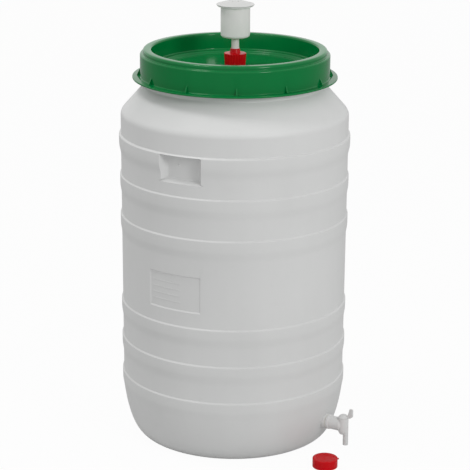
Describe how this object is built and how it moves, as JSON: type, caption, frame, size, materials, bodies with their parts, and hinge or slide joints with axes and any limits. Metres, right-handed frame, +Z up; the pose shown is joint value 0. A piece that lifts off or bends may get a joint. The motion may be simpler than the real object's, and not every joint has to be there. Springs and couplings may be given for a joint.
{
  "type": "fermenting barrel",
  "caption": "Wide-neck plastic fermenting barrel with a banded body, screw lid, water-trap airlock on a ribbed cap, low tap and a spare blank cap.",
  "frame": {"origin": "on the barrel's axis, at the flat base that it stands on", "axes": "+Z up along the barrel's axis, -Y out through the tap, the hand grips close to the X axis"},
  "size_m": [0.4994, 0.5701, 0.9645],
  "materials": {
    "barrel_plastic": "satin blow-moulded polyethylene",
    "lid_plastic": "glossy moulded green",
    "cap_plastic": "semi-gloss moulded red",
    "airlock_plastic": "milky translucent",
    "tap_plastic": "satin moulded white",
    "pale_rubber": "matte",
    "seal_rubber": "matte"
  },
  "bodies": {
    "barrel": {"barrel_body": "barrel_plastic", "tap_body": "tap_plastic", "tap_outer_washer": "pale_rubber", "tap_inner_washer": "pale_rubber", "tap_back_nut": "tap_plastic"},
    "lid_seal": {"lid_seal": "pale_rubber"},
    "lid": {"lid": "lid_plastic"},
    "airlock_cap_seal": {"airlock_cap_seal": "seal_rubber"},
    "airlock_cap": {"airlock_cap": "cap_plastic"},
    "airlock_vessel": {"airlock_vessel": "airlock_plastic"},
    "airlock_bell": {"airlock_bell": "airlock_plastic"},
    "airlock_cover": {"airlock_cover": "airlock_plastic"},
    "tap_key": {"tap_key": "tap_plastic", "tap_key_o_ring": "seal_rubber"},
    "blank_cap": {"blank_cap": "cap_plastic", "blank_cap_seal": "seal_rubber"}
  },
  "joints": [
    {"name": "lid_rise", "type": "slide", "parent": "barrel", "child": "lid_seal", "axis": [0, 0, 1], "range_m": [0, 0.018]},
    {"name": "lid_turn", "type": "hinge", "parent": "lid_seal", "child": "lid", "pos_m": [0, 0, 0.82], "axis": [0, 0, 1], "range_deg": [0, 540]},
    {"name": "airlock_cap_rise", "type": "slide", "parent": "lid", "child": "airlock_cap_seal", "axis": [0, 0, 1], "range_m": [0, 0.012]},
    {"name": "airlock_cap_turn", "type": "hinge", "parent": "airlock_cap_seal", "child": "airlock_cap", "pos_m": [0, 0, 0.83], "axis": [0, 0, 1], "range_deg": [0, 720]},
    {"name": "airlock_pull", "type": "slide", "parent": "airlock_cap", "child": "airlock_vessel", "axis": [0, 0, 1], "range_m": [0, 0.035]},
    {"name": "bell_float", "type": "slide", "parent": "airlock_vessel", "child": "airlock_bell", "axis": [0, 0, 1], "range_m": [0, 0.012]},
    {"name": "cover_lift", "type": "slide", "parent": "airlock_vessel", "child": "airlock_cover", "axis": [0, 0, 1], "range_m": [0, 0.04]},
    {"name": "tap_key_turn", "type": "hinge", "parent": "barrel", "child": "tap_key", "pos_m": [0, -0.2826, 0.058], "axis": [0, 0, 1], "range_deg": [0, 90]},
    {"name": "blank_cap_lift", "type": "slide", "parent": "barrel", "child": "blank_cap", "axis": [0, 0, 1], "range_m": [0, 0.15]}
  ],
  "couplings": [
    {"joint": "lid_rise", "follows": "lid_turn", "m_per_rad": 0.0019099},
    {"joint": "airlock_cap_rise", "follows": "airlock_cap_turn", "m_per_rad": 0.00095493}
  ]
}
